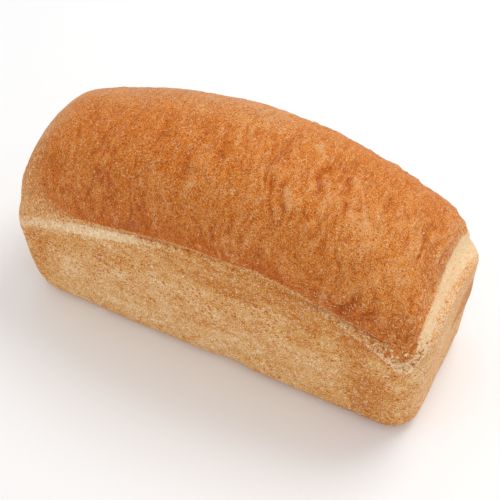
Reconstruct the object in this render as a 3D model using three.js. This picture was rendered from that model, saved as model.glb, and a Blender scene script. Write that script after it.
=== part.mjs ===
// An uncut wholemeal tin loaf as one closed solid. Millimetres, +Z up, long side along X,
// front at -Y. The origin is the middle of the flat base.
// The tin gives the flat, slightly flared walls and the rounded base. Above the tin's edge
// the dough has sprung up: a pale shoulder runs round the top of the walls, and inside it
// stands the browned crown, highest at mid-length and higher walled at the right-hand end.
import * as THREE from "three";

// The body as the tin shapes it, measured over the rim, where the walls are widest.
const body = {
  halfLength: 137.5,
  halfWidth: 54.2,
  leftDraft: 2, // how much further in the base stands than the rim, at each end and side
  rightDraft: 3.2,
  sideDraft: 3.6,
  leftBelly: 1.6, // above 1 the left-hand end bulges between base and rim
  baseCorner: 17, // radius in plan
  baseFillet: 12, // radius from the base up to the walls
  leftCornerCurve: 0.6, // how soon, going up, the corners take their radius at the rim
  rightCornerCurve: 2,
};

// The rim is the top edge of the walls. It rises to the middle of each side and end.
const rim = {
  middleHeight: 97.5,
  leftHeight: 57,
  rightHeight: 72,
  leftCurve: 1.75, // exponents of the fall from the middle to the ends
  rightCurve: 1.9,
  endArch: 18, // how much the middle of an end wall stands above its corners
  endArchCurve: 6,
  frontLeft: 10, // corner radii in plan, where the dough did not fill the tin's corners
  frontRight: 24,
  backRight: 24,
  backLeft: 20,
};

// The pale shoulder rolls in from the rim and up to the foot of the crown.
const shoulder = {
  leftInset: 3.4,
  rightInset: 12,
  sideInset: 2.2,
  leftRise: 14,
  middleRise: 3,
  rightRise: 4.5,
  riseCurve: 3,
  corner: 10, // radius in plan at the foot of the crown
  rightFlare: 3.5, // how much further out the foot stands at the right-hand corners
  flareAlong: 6, // powers that keep the flare to the corners
  flareAcross: 3,
};

// The crown is a superellipse arch in both directions: a higher power is a squarer arch.
const crown = {
  rise: 54.5,
  leftPower: 3.6,
  rightPower: 2.9,
  acrossPower: 2.35,
};

// Shallow folds across the crown, left by the skin as the loaf shrank while it cooled.
const folds = {
  depth: 0.7,
  spacing: 21,
  slant: 0.35, // how far a fold leans along X for each millimetre across
  secondRatio: 1.62, // the finer set that breaks up the regular one
  secondShare: 0.5,
};

const grid = {
  alongCells: 64, // even, as is the next
  acrossCells: 22,
  crowding: 2, // above 1 the cells get smaller towards the edges
  filletRings: 4,
  wallRings: 9,
  shoulderRings: 3,
};

const quarterTurn = Math.PI / 2;
const smallestCorner = 3;

// Position from -1 to 1 of grid line i out of count, crowded towards both ends.
function crowded(i, count) {
  const t = (2 * i) / count - 1;
  return Math.sign(t) * (1 - Math.pow(1 - Math.abs(t), grid.crowding));
}

// One corner's outward distance from its centre: a square cell mapped on a quarter disc.
function quarterDisc(acrossX, acrossY, radius) {
  const reach = Math.max(acrossX, acrossY) * radius;
  const angle =
    acrossX >= acrossY
      ? ((acrossY / acrossX) * quarterTurn) / 2
      : quarterTurn - ((acrossX / acrossY) * quarterTurn) / 2;
  return [reach * Math.cos(angle), reach * Math.sin(angle)];
}

// A point of the unit square carried to a rectangle with rounded corners.
// plan: left, right and side half sizes, and corner(u, v), the radius in that quarter.
function inPlan(u, v, plan) {
  const radius = plan.corner(u, v);
  const halfLength = u < 0 ? plan.left : plan.right;
  let x = Math.abs(u) * halfLength;
  let y = Math.abs(v) * plan.side;
  const overX = (x - (halfLength - radius)) / radius;
  const overY = (y - (plan.side - radius)) / radius;
  if (overX > 0 && overY > 0) {
    const [dx, dy] = quarterDisc(overX, overY, radius);
    x = halfLength - radius + dx;
    y = plan.side - radius + dy;
  }
  return [Math.sign(u) * x, Math.sign(v) * y];
}

function rimCorner(u, v) {
  if (u < 0) return v < 0 ? rim.frontLeft : rim.backLeft;
  return v < 0 ? rim.frontRight : rim.backRight;
}

function rimHeight(x, y) {
  const along = Math.min(Math.abs(x) / body.halfLength, 1);
  const across = Math.min(Math.abs(y) / body.halfWidth, 1);
  const endHeight = x < 0 ? rim.leftHeight : rim.rightHeight;
  const curve = x < 0 ? rim.leftCurve : rim.rightCurve;
  const fall = (rim.middleHeight - endHeight) * Math.pow(along, curve);
  const arch = rim.endArch * (1 - across * across) * Math.pow(along, rim.endArchCurve);
  return rim.middleHeight - fall + arch;
}

function shoulderRise(x) {
  const along = Math.min(Math.abs(x) / body.halfLength, 1);
  const endRise = x < 0 ? shoulder.leftRise : shoulder.rightRise;
  const extra = (endRise - shoulder.middleRise) * Math.pow(along, shoulder.riseCurve);
  return shoulder.middleRise + extra;
}

// The walls' outline at a share of the way up, 0 at the base and 1 at the rim.
function wallPlan(share, inset) {
  const low = 1 - share;
  return {
    left: body.halfLength - body.leftDraft * Math.pow(low, body.leftBelly) - inset,
    right: body.halfLength - body.rightDraft * low - inset,
    side: body.halfWidth - body.sideDraft * low - inset,
    corner: (u, v) => {
      const curve = u < 0 ? body.leftCornerCurve : body.rightCornerCurve;
      const opened = (rimCorner(u, v) - body.baseCorner) * Math.pow(share, curve);
      return Math.max(body.baseCorner + opened - inset / 2, smallestCorner);
    },
  };
}

// A point of the shoulder's outline at a share of its inset, 0 at the rim and 1 at the
// crown's foot.
function shoulderPoint(u, v, share) {
  const plan = {
    left: body.halfLength - shoulder.leftInset * share,
    right: body.halfLength - shoulder.rightInset * share,
    side: body.halfWidth - shoulder.sideInset * share,
    corner: (u, v) => {
      const fromRim = rimCorner(u, v);
      return fromRim + (shoulder.corner - fromRim) * share;
    },
  };
  const [x, y] = inPlan(u, v, plan);
  const along = Math.pow(Math.max(x / body.halfLength, 0), shoulder.flareAlong);
  const across = Math.pow(Math.abs(y) / body.halfWidth, shoulder.flareAcross);
  return [x + shoulder.rightFlare * share * along * across, y];
}

// Grid lines met in one turn round the edge of the square, anticlockwise from above.
function edgeSteps() {
  const { alongCells, acrossCells } = grid;
  const steps = [];
  for (let i = 0; i < alongCells; i++) steps.push([i, 0]);
  for (let j = 0; j < acrossCells; j++) steps.push([alongCells, j]);
  for (let i = alongCells; i > 0; i--) steps.push([i, acrossCells]);
  for (let j = acrossCells; j > 0; j--) steps.push([0, j]);
  return steps;
}

const edge = edgeSteps();

// A ring of points round one outline, at a height that may depend on the place.
// outline(u, v) gives the place in plan.
function ring(outline, height) {
  return edge.map(([i, j]) => {
    const u = crowded(i, grid.alongCells);
    const v = crowded(j, grid.acrossCells);
    const [x, y] = outline(u, v);
    return new THREE.Vector3(x, y, height(x, y));
  });
}

function wallRing(share, inset, height) {
  const plan = wallPlan(share, inset);
  return ring((u, v) => inPlan(u, v, plan), height);
}

function filletRings() {
  return Array.from({ length: grid.filletRings }, (_, k) => {
    const angle = (k / grid.filletRings) * quarterTurn;
    const inset = body.baseFillet * (1 - Math.sin(angle));
    const height = body.baseFillet * (1 - Math.cos(angle));
    return wallRing(0, inset, () => height);
  });
}

function wallRings() {
  return Array.from({ length: grid.wallRings + 1 }, (_, k) => {
    const share = k / grid.wallRings;
    const height = (x, y) =>
      body.baseFillet + (rimHeight(x, y) - body.baseFillet) * share;
    return wallRing(share, 0, height);
  });
}

function shoulderRings() {
  return Array.from({ length: grid.shoulderRings }, (_, k) => {
    const angle = ((k + 1) / grid.shoulderRings) * quarterTurn;
    const height = (x, y) => rimHeight(x, y) + shoulderRise(x) * Math.sin(angle);
    const share = 1 - Math.cos(angle);
    return ring((u, v) => shoulderPoint(u, v, share), height);
  });
}

// Height of a superellipse arch, 1 in the middle and 0 at the edge.
function arch(t, power) {
  return Math.pow(Math.max(1 - Math.pow(Math.abs(t), power), 0), 1 / power);
}

function foldDepth(x, y) {
  const phase = ((x + folds.slant * y) / folds.spacing) * 2 * Math.PI;
  const second = Math.sin(phase * folds.secondRatio) * folds.secondShare;
  return folds.depth * (Math.sin(phase) + second);
}

function crownPoint(u, v) {
  const [x, y] = shoulderPoint(u, v, 1);
  const alongArch = arch(u, u < 0 ? crown.leftPower : crown.rightPower);
  const dome = alongArch * arch(v, crown.acrossPower);
  const foot = rimHeight(x, y) + shoulderRise(x);
  return new THREE.Vector3(x, y, foot + crown.rise * dome + foldDepth(x, y) * dome);
}

// Collects shared points and the triangles between them.
class Surface {
  points = [];
  triangles = [];

  addRing(ringPoints) {
    const first = this.points.length;
    this.points.push(...ringPoints);
    return ringPoints.map((_, k) => first + k);
  }

  addQuad(a, b, c, d) {
    this.triangles.push(a, b, c, a, c, d);
  }

  // A band between two rings, the second one above or inside the first.
  addBand(lower, upper) {
    lower.forEach((_, k) => {
      const next = (k + 1) % lower.length;
      this.addQuad(lower[k], lower[next], upper[next], upper[k]);
    });
  }

  // The flat base: a fan from its middle to the lowest ring, facing down.
  addBase(lowest) {
    const middle = this.addRing([new THREE.Vector3(0, 0, 0)])[0];
    lowest.forEach((_, k) => {
      this.triangles.push(middle, lowest[(k + 1) % lowest.length], lowest[k]);
    });
  }

  // The crown: a grid whose outermost points are those of the foot ring.
  addCrown(foot) {
    const { alongCells, acrossCells } = grid;
    const index = new Map(edge.map(([i, j], k) => [`${i},${j}`, foot[k]]));
    for (let i = 1; i < alongCells; i++) {
      for (let j = 1; j < acrossCells; j++) {
        const point = crownPoint(crowded(i, alongCells), crowded(j, acrossCells));
        index.set(`${i},${j}`, this.addRing([point])[0]);
      }
    }
    const at = (i, j) => index.get(`${i},${j}`);
    for (let i = 0; i < alongCells; i++) {
      for (let j = 0; j < acrossCells; j++) {
        this.addQuad(at(i, j), at(i + 1, j), at(i + 1, j + 1), at(i, j + 1));
      }
    }
  }

  geometry() {
    const made = new THREE.BufferGeometry().setFromPoints(this.points);
    made.setIndex(this.triangles);
    made.computeVertexNormals();
    return made;
  }
}

function loafGeometry() {
  const surface = new Surface();
  const rings = [...filletRings(), ...wallRings(), ...shoulderRings()];
  const levels = rings.map((points) => surface.addRing(points));
  surface.addBase(levels[0]);
  levels.slice(1).forEach((upper, k) => surface.addBand(levels[k], upper));
  surface.addCrown(levels.at(-1));
  return surface.geometry();
}

function breadCrust() {
  return new THREE.MeshStandardMaterial({
    color: 0xc68447,
    roughness: 0.75,
    metalness: 0,
  });
}

const loaf = new THREE.Mesh(loafGeometry(), breadCrust());
loaf.name = "loaf";

const part = new THREE.Group();
part.add(loaf);

export default part;
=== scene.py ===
import math

import bpy
import numpy as np
from mathutils import Matrix, Vector, noise


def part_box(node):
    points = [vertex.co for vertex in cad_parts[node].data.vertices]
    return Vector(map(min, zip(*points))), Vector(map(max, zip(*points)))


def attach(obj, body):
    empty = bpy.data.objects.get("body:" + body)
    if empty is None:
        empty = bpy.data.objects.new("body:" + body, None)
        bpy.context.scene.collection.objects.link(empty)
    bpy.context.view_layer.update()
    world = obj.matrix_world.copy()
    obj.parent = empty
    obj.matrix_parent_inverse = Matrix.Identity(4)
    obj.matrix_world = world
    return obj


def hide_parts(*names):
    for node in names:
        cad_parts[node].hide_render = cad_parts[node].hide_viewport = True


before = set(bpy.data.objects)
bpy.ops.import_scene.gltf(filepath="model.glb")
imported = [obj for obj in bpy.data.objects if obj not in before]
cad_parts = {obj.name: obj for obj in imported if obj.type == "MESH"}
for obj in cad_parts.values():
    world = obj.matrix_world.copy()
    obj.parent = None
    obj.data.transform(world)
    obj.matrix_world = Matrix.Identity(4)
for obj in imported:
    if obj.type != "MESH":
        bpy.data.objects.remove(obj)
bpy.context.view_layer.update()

# Wholemeal tin loaf, uncut. The long side lies along X and the front wall faces -Y.
# Sizes in the loaf's own dictionaries are millimetres, as a baker would give them,
# and the finished meshes are metres.

mm = 0.001
loafLow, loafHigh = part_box("loaf")
halfLength = (loafHigh.x - loafLow.x) / 2 / mm
halfWidth = (loafHigh.y - loafLow.y) / 2 / mm
fullHeight = (loafHigh.z - loafLow.z) / mm
flatBelow = 0.01       # points this low belong to the flat underside
seedStep = 17.31       # how far apart the patterns of two seeds lie, in lumps


# small helpers for arrays

def smooth(value, start, end):
    # 0 at the start and 1 at the end, whichever of them is the larger
    t = np.clip((value - start) / (end - start), 0.0, 1.0)
    return t * t * (3 - 2 * t)


def mix(a, b, share):
    return a + (b - a) * share


def hump(value, width):
    # 1 where the value is 0, dying away on both sides
    return np.exp(-(value / width) ** 2)


def softCap(values, start, limit):
    # values above the start bend over gently and never pass the limit
    room = limit - start
    return np.where(values > start, start + room * np.tanh((values - start) / room), values)


def rough(points, kind):
    # soft noise from about -1 to 1, with lumps of the kind's size in millimetres
    shifted = points / kind["size"] / np.array(kind.get("stretch", (1, 1, 1))) + kind["seed"] * seedStep
    octaves = kind.get("octaves", 2)
    return np.array([noise.fractal(p, 1.0, 2.0, octaves) for p in shifted.tolist()])


def patches(points, kind):
    # 1 where the noise is past the kind's full level, 0 before it begins
    return smooth(rough(points, kind), *kind["level"])


def valleys(points, kind):
    # thin valleys, 1 on their bottom line and 0 away from it
    return np.clip(1 - np.abs(rough(points, kind)) / kind["width"], 0, 1) ** 2


# the form that the tin and the oven gave

tin = {
    "skin": 0.3,           # the walls start this far inside the solid, room for their relief
    "leftDraft": 2.0,      # how much further in the base stands than the rim
    "rightDraft": 3.2,
    "sideDraft": 3.6,
    "baseCorner": 17.0,    # radius in plan
    "baseFillet": 12.0,
    "leftBelly": 3.4,      # above 1 the left-hand end bulges between base and rim
    "leftCornerCurve": 0.3,
    "rightCornerCurve": 2.0,
    "leastCorner": 3.0,
    "cornerInset": 0.5,    # how much of a fillet ring's inset its corner radius loses
}
rim = {
    "middleHeight": 97.5,
    "leftHeight": 57.0,
    "rightHeight": 72.0,
    "leftCurve": 1.75,     # powers of the fall from the middle to the ends
    "rightCurve": 1.9,
    "endArch": 18.0,       # the middle of an end wall above its corners
    "endArchCurve": 6,
    "corners": (10.0, 24.0, 24.0, 20.0),   # front left, front right, back right, back left
}
shoulder = {
    "leftInset": 2.4,
    "rightInset": 12.0,
    "sideInset": 2.2,
    "leftRise": 14.0,
    "middleRise": 3.0,
    "rightRise": 4.5,
    "riseCurve": 3,
    "corner": 10.0,
    "rightFlare": 3.5,     # the crown's corners at the right reach further out than its middle
    "flareCurve": 6,       # powers of the flare's growth towards the end and the corners
    "flareAcrossCurve": 3,
}
crown = {
    "rise": 54.4,
    "leftPower": 3.6,
    "rightPower": 2.9,
    "acrossPower": 2.35,
    "evenEdge": 4,         # how soon the mesh lines even out towards the crown's foot
}
cells = {
    "along": 330,
    "across": 132,
    "fillet": 8,
    "wall": 38,
    "wallCrowding": 1.5,   # above 1 the wall's rings stand closer towards the rim
    "shoulder": 8,
    "base": 4,
    "profile": 2001,       # points at which the crown's profile is measured
}


def cornerRadius(u, v, radii):
    front = np.where(u < 0, radii[0], radii[1])
    back = np.where(u < 0, radii[3], radii[2])
    return np.where(v < 0, front, back)


def inPlan(u, v, left, right, side, radius):
    # a point of the unit square carried to a rectangle with rounded corners
    halfX = np.where(u < 0, left, right)
    x, y = np.abs(u) * halfX, np.abs(v) * side
    overX = np.clip((x - halfX + radius) / radius, 0, None)
    overY = np.clip((y - side + radius) / radius, 0, None)
    reach = np.maximum(overX, overY) * radius
    ratio = np.minimum(overX, overY) / np.maximum(np.maximum(overX, overY), 1e-9)
    angle = ratio * math.pi / 4
    angle = np.where(overX >= overY, angle, math.pi / 2 - angle)
    inCorner = (overX > 0) & (overY > 0)
    x = np.where(inCorner, halfX - radius + reach * np.cos(angle), x)
    y = np.where(inCorner, side - radius + reach * np.sin(angle), y)
    return np.sign(u) * x, np.sign(v) * y


def rimHeight(x, y):
    along = np.clip(np.abs(x) / halfLength, 0, 1)
    across = np.clip(np.abs(y) / halfWidth, 0, 1)
    endHeight = np.where(x < 0, rim["leftHeight"], rim["rightHeight"])
    curve = np.where(x < 0, rim["leftCurve"], rim["rightCurve"])
    arch = rim["endArch"] * (1 - across ** 2) * along ** rim["endArchCurve"]
    return rim["middleHeight"] - (rim["middleHeight"] - endHeight) * along ** curve + arch


def shoulderRise(x):
    along = np.clip(np.abs(x) / halfLength, 0, 1)
    endRise = np.where(x < 0, shoulder["leftRise"], shoulder["rightRise"])
    return mix(shoulder["middleRise"], endRise, along ** shoulder["riseCurve"])


def footHeight(x, y):
    return rimHeight(x, y) + shoulderRise(x)


def archHeight(t, power):
    return np.clip(1 - np.abs(t) ** power, 0, None) ** (1 / power)


def wallRing(u, v, share, inset):
    low = 1 - share
    radius = cornerRadius(u, v, rim["corners"])
    opened = np.where(u < 0, share ** tin["leftCornerCurve"], share ** tin["rightCornerCurve"])
    radius = mix(tin["baseCorner"], radius, opened) - inset * tin["cornerInset"]
    return inPlan(
        u, v,
        halfLength - tin["skin"] - tin["leftDraft"] * low ** tin["leftBelly"] - inset,
        halfLength - tin["skin"] - tin["rightDraft"] * low - inset,
        halfWidth - tin["skin"] - tin["sideDraft"] * low - inset,
        np.maximum(radius, tin["leastCorner"]),
    )


def shoulderRing(u, v, share):
    radius = mix(cornerRadius(u, v, rim["corners"]), shoulder["corner"], share)
    x, y = inPlan(
        u, v,
        halfLength - tin["skin"] - shoulder["leftInset"] * share,
        halfLength - tin["skin"] - shoulder["rightInset"] * share,
        halfWidth - tin["skin"] - shoulder["sideInset"] * share,
        radius,
    )
    atEnd = np.clip(x / halfLength, 0, 1) ** shoulder["flareCurve"]
    atCorner = atEnd * np.clip(np.abs(y) / halfWidth, 0, 1) ** shoulder["flareAcrossCurve"]
    return x + shoulder["rightFlare"] * share * atCorner, y


def evenSteps(heights, positions, count):
    # positions that split a profile into stretches of equal length
    stretch = np.hypot(np.diff(positions), np.diff(heights))
    travelled = np.concatenate([[0], np.cumsum(stretch)])
    return np.interp(np.linspace(0, travelled[-1], count + 1), travelled, positions)


def crownSteps():
    fine = np.linspace(-1, 1, cells["profile"])
    power = np.where(fine < 0, crown["leftPower"], crown["rightPower"])
    ridge = footHeight(fine * halfLength, 0 * fine) + crown["rise"] * archHeight(fine, power)
    along = evenSteps(ridge / halfLength, fine, cells["along"])
    arch = crown["rise"] * archHeight(fine, crown["acrossPower"])
    across = evenSteps(arch / halfWidth, fine, cells["across"])
    return along, across


def loafSkin():
    # rings round the walls from the base up, and the crown's grid inside the last ring
    n, m = cells["along"], cells["across"]
    evenU, evenV = np.linspace(-1, 1, n + 1), np.linspace(-1, 1, m + 1)
    ringI = [*range(n), *[n] * m, *range(n, 0, -1), *[0] * m]
    ringJ = [*[0] * n, *range(m), *[m] * n, *range(m, 0, -1)]
    u, v = evenU[ringI], evenV[ringJ]
    rings = []
    for k in range(cells["fillet"]):
        angle = k / cells["fillet"] * math.pi / 2
        x, y = wallRing(u, v, 0, tin["baseFillet"] * (1 - math.sin(angle)))
        rings.append((x, y, 0 * x + tin["baseFillet"] * (1 - math.cos(angle))))
    for k in range(cells["wall"] + 1):
        share = 1 - (1 - k / cells["wall"]) ** cells["wallCrowding"]
        x, y = wallRing(u, v, share, 0)
        rings.append((x, y, mix(tin["baseFillet"], rimHeight(x, y), share)))
    for k in range(cells["shoulder"]):
        angle = (k + 1) / cells["shoulder"] * math.pi / 2
        x, y = shoulderRing(u, v, 1 - math.cos(angle))
        rings.append((x, y, rimHeight(x, y) + shoulderRise(x) * math.sin(angle)))
    rings = np.array([np.column_stack(r) for r in rings])

    along, across = crownSteps()
    s, t = np.meshgrid(evenU, evenV, indexing="ij")
    arcU, arcV = np.meshgrid(along, across, indexing="ij")
    gridU = mix(arcU, s, np.abs(t) ** crown["evenEdge"])
    gridV = mix(arcV, t, np.abs(s) ** crown["evenEdge"])
    x, y = shoulderRing(gridU, gridV, 1)
    power = np.where(gridU < 0, crown["leftPower"], crown["rightPower"])
    dome = archHeight(gridU, power) * archHeight(gridV, crown["acrossPower"])
    top = np.stack([x, y, footHeight(x, y) + crown["rise"] * dome], -1)
    return rings, top, (ringI, ringJ)


def skinMesh():
    # points in millimetres, quads, and for each point its distance up (+) or down (-)
    # from the crown's foot line
    rings, top, (ringI, ringJ) = loafSkin()
    levels, around = rings.shape[:2]
    index = np.full(top.shape[:2], -1)
    index[ringI, ringJ] = np.arange(around) + (levels - 1) * around
    inside = index < 0
    index[inside] = np.arange(inside.sum()) + levels * around
    points = np.concatenate([rings.reshape(-1, 3), top[inside]])

    steps = np.linalg.norm(np.diff(rings, axis=0), axis=2)
    below = np.zeros((levels, around))
    below[:-1] = np.cumsum(steps[::-1], axis=0)[::-1]
    above = top[..., 2] - footHeight(top[..., 0], top[..., 1])
    fromFoot = np.concatenate([-below.reshape(-1), above[inside]])

    ring = np.arange(around)
    turned = np.roll(ring, -1)
    quads = [
        np.column_stack([ring + a, turned + a, turned + a + around, ring + a + around])
        for a in range(0, (levels - 1) * around, around)
    ]
    patch = np.stack([index[:-1, :-1], index[1:, :-1], index[1:, 1:], index[:-1, 1:]], -1)
    quads.append(patch.reshape(-1, 4))
    return points, np.concatenate(quads), fromFoot, around


def addBase(points, quads, fromFoot, around):
    # the flat underside, as rings that shrink to half a step from the middle, and a fan
    start = len(points)
    outline = points[:around]
    shares = 1 - (np.arange(cells["base"]) + 1) / (cells["base"] + 0.5)
    for share in shares:
        points = np.concatenate([points, outline * (share, share, 1)])
    points = np.concatenate([points, [[0.0, 0.0, 0.0]]])
    fromFoot = np.concatenate([fromFoot, np.full(len(points) - len(fromFoot), fromFoot.min())])
    ring = np.arange(around)
    turned = np.roll(ring, -1)
    firsts = [0, *range(start, start + cells["base"] * around, around)]
    bands = [
        np.column_stack([ring + b, turned + b, turned + a, ring + a])
        for a, b in zip(firsts[:-1], firsts[1:])
    ]
    middle = np.full(around, len(points) - 1)
    fan = np.column_stack([middle, turned + firsts[-1], ring + firsts[-1]])
    return points, np.concatenate([quads, *bands]), fan, fromFoot


def neighbourMean(values, edges, count):
    total = np.zeros_like(values)
    np.add.at(total, edges[:, 0], values[edges[:, 1]])
    np.add.at(total, edges[:, 1], values[edges[:, 0]])
    return total / count[:, None]


def meshEdges(mesh):
    edges = np.zeros(len(mesh.edges) * 2, np.int32)
    mesh.edges.foreach_get("vertices", edges)
    return edges.reshape(-1, 2)


def meshNormals(mesh):
    normals = np.zeros(len(mesh.vertices) * 3, np.float32)
    mesh.vertex_normals.foreach_get("vector", normals)
    return normals.reshape(-1, 3).astype(float)


def setPoints(mesh, points):
    mesh.vertices.foreach_set("co", (points * mm).astype(np.float32).ravel())
    mesh.update()


def setMask(mesh, name, values):
    mask = mesh.attributes.new(name, "FLOAT", "POINT")
    mask.data.foreach_set("value", values.astype(np.float32))


# what changes on the way round the loaf
# Each side has pairs: a place along that side in millimetres, and the value there, which is in
# millimetres too unless it is a strength. Front and back are read along X, the ends along Y.

crustReach = {
    # how far the browned crust comes down past the crown's foot line; below 0 it stops above it
    "front": ((-137, 0.5), (-115, -0.5), (-85, 0), (-60, 0.5), (-20, 0), (10, 0), (30, -3), (55, -2),
              (75, 1.5), (95, 3), (106, 6), (115, 10), (121, 14), (127, 9)),
    "right": ((-52, 6), (-44, 0), (-36, -1.5), (-25, -2.5), (-16, -3.5), (-5, -5), (5, -6.5), (27, -11),
              (40, -12), (50, -11)),
    "back": ((-137, 4), (-100, 2), (20, 0.5), (80, 0.5), (112, -3), (126, -9)),
    "left": ((-50, 0), (-20, 0), (15, -1), (50, 1)),
}
crustFade = {
    # how far the browned crust takes to fade into the pale sides
    "front": ((-137, 54), (-120, 37), (-104, 16), (-88, 6), (-68, 2.5), (-50, 1.4), (20, 1.4), (50, 3),
              (70, 4.5), (95, 5), (110, 9), (120, 8), (127, 4)),
    "right": ((-52, 4), (-42, 2.4), (-30, 2.4), (35, 2.4), (52, 2.4)),
    "back": ((-137, 44), (-105, 16), (-70, 3), (80, 2), (126, 2)),
    "left": ((-50, 56), (0, 60), (50, 50)),
}
bandPlace = {
    # how far below the foot line the middle of the pale band is; at the front right, the torn edge
    "front": ((-137, 9), (-125, 6), (-100, 5), (-65, 5), (-42, 4.5), (-26, 4), (0, 2.5), (60, 3),
              (75, 6), (88, 9), (100, 12), (106, 14), (112, 15.5), (118, 17), (128, 18)),
    "right": ((-52, 14), (-46, 7), (-36, 4), (-16, 1), (5, 0.5), (27, -1), (50, -1)),
    "back": ((-137, 10), (-90, 6), (-30, 4), (60, 3), (110, 2), (130, 0)),
    "left": ((-50, 10), (0, 12), (50, 10)),
}
bandWidth = {
    # from the middle of the pale band to its edge
    "front": ((-137, 4.5), (-100, 4), (-65, 4), (-42, 3), (-26, 2), (0, 1.2), (95, 1), (106, 1.8),
              (116, 3.5), (122, 5), (130, 6)),
    "right": ((-52, 6), (-44, 6), (-36, 4), (-16, 4), (5, 6.5), (27, 10), (50, 10)),
    "back": ((-137, 5), (-60, 4), (0, 1.5), (90, 2), (112, 5), (126, 10)),
    "left": ((-50, 4.5), (0, 5), (50, 5)),
}
bandStrength = {
    # how well the pale band shows, 1 and more where it is whole
    "front": ((-137, 0.8), (-110, 0.7), (-95, 0.85), (-70, 1.15), (-55, 1.0), (-42, 0.6), (-25, 0.35),
              (-10, 0.1), (60, 0.05), (90, 0.4), (108, 0.55), (116, 0.75), (122, 0.85)),
    "right": ((-52, 0.95), (-45, 1.0), (-40, 1.2), (-32, 1.1), (27, 1.1), (50, 0.9)),
    "back": ((-137, 0.8), (-60, 0.9), (0, 0.3), (90, 0.3), (126, 0.9)),
    "left": ((-50, 0.7), (50, 0.7)),
}
flankTone = {
    # how much darker the crust is made low on its flanks; below 0 it is paler, which on the right-hand end
    # is painted light
    "front": ((-137, 0), (-100, 0.3), (-50, 0.8), (-20, 0.9), (20, 1.4), (50, 1.4), (66, 1.1),
              (98, 1.3), (110, 0.8), (118, 0)),
    "right": ((-50, 0.3), (-25, -0.4), (50, -0.4)),
    "back": ((-137, 0.2), (-90, 1), (110, 1), (128, 0)),
    "left": ((-50, 0), (50, 0)),
}
creaseDepth = {
    # the fold where the crown lies over the pale band, 1 where it is darkest and deepest; its darkness is
    # painted shade
    "front": ((-80, 0), (-68, 0.15), (-54, 0.6), (-25, 0.5), (-5, 0.1), (60, 0.15), (75, 0.5),
              (95, 0.9), (112, 1.0), (120, 0.2)),
    "right": ((-52, 0.2), (-40, 0.15), (30, 0.2), (50, 0.1)),
    "back": ((-100, 0.1), (-50, 0.8), (60, 0.6), (120, 0.3)),
    "left": ((-50, 0), (50, 0)),
}


sideBlend = {
    "reach": 2,            # millimetres
    "sharpness": 4,
}


def roundTheLoaf(points, sides):
    # every point takes the value of the side that it is nearest to, blended at the corners
    x, y = points[:, 0], points[:, 1]
    away = np.stack([y + halfWidth, halfLength - x, halfWidth - y, x + halfLength])
    weight = 1 / (np.clip(away, 0, None) + sideBlend["reach"]) ** sideBlend["sharpness"]
    total = 0
    for share, (side, along) in zip(weight / weight.sum(0), zip(sides, (x, y, x, y))):
        places, values = zip(*sides[side])
        total = total + share * np.interp(along, places, values)
    return total


# zones of the loaf
# A zone has reaches along X, across on Y, in height on Z, and above or below the crown's foot
# line, all in millimetres. Each begins at its first number and is full at its second. One with
# End in its name closes the zone again, and a Shift is how far uneven noise moves its edge.

def zone(points, fromFoot, kind, uneven=0):
    # 1 inside the zone and 0 outside
    along, across, height = points.T
    measures = {"along": along, "across": across, "height": height, "above": fromFoot, "below": -fromFoot}
    inside = np.ones(len(points))
    for name, measure in measures.items():
        for key in (name, name + "End"):
            if key in kind:
                inside = inside * smooth(measure + kind.get(name + "Shift", 0) * uneven, *kind[key])
    return inside


def kept(points, fromFoot, kinds, uneven=0):
    # 1 outside the zones, and inside each what that one keeps
    share = 1
    for kind in kinds:
        share = share * mix(1.0, kind["keeps"], zone(points, fromFoot, kind, uneven))
    return share


# relief: wrinkles, dents and grain of the skin
# A size is one lump or one wrinkle in millimetres, a stretch draws it out along X, Y and Z, and
# a seed picks the pattern. A level is where the noise begins to count and where it is full.

softening = {
    # where the plain form's hard corner lines are melted, with reaches as a zone has them; the
    # bands are distances from the foot line
    "leftEnd": (-60, -120),
    "leftBand": (26, 8),
    "leftPasses": 8,
    "rightEnd": (104, 124),
    "rightBand": (30, 18),
    "rightBelow": 8,       # the middle of the right-hand band, below the foot line
    "rightPasses": 26,
    "footBand": (5, 1),
    "footPasses": 2,
    "pull": 0.6,           # how far a point goes towards its neighbours on every pass
}
wrinkles = {
    # depth in millimetres, and tone for how much each kind lightens or darkens the crust, partly its own
    # tone and partly painted light and shade
    "lumps": {"size": 42, "seed": 1, "depth": 0.9},
    "folds": {"size": 5.4, "seed": 2, "stretch": (1, 4.8, 4.0), "depth": 1.4, "tone": 0.45},
    "ripples": {"size": 2.9, "seed": 3, "stretch": (1, 4.8, 4.0), "depth": 1.0, "tone": 0.7},
    "pleats": {"size": 2.2, "seed": 25, "octaves": 1, "stretch": (1, 4.5, 3.5), "depth": 0.45, "tone": 0.6},
    "pinches": {"size": 6.5, "seed": 28, "stretch": (1, 4, 3), "width": 0.16, "depth": 1.2, "tone": 0.6},
    "streaks": {"size": 10, "seed": 31, "stretch": (1, 4.2, 3.4), "depth": 0.5, "tone": 0.4},
    "cracks": {"size": 8, "seed": 33, "stretch": (1, 3.5, 3.5), "width": 0.12, "depth": 0.4, "tone": 0.8},
    "dimples": {"size": 5, "seed": 4, "depth": 0.16, "tone": 0.2},
    "fine": {"size": 2.6, "seed": 5, "depth": 0.12},
}
wrinkleRun = {
    # the wrinkles run across the loaf, slightly slanted, and wander by these shifts
    "wide": {"size": 26, "seed": 20, "shift": 7},
    "narrow": {"size": 9, "seed": 22, "octaves": 1, "shift": 1.5},
    "slant": 0.12,
}
wrinklePatches = {
    "folds": {"size": 30, "seed": 21, "octaves": 1, "level": (-0.35, 0.2)},
    "pleats": {"size": 16, "seed": 24, "octaves": 1, "level": (0.0, 0.3)},
    "pinches": {"size": 13, "seed": 29, "octaves": 1, "level": (-0.05, 0.35)},
    "cracks": {"size": 11, "seed": 34, "octaves": 1, "level": (-0.2, 0.3)},
}
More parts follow.
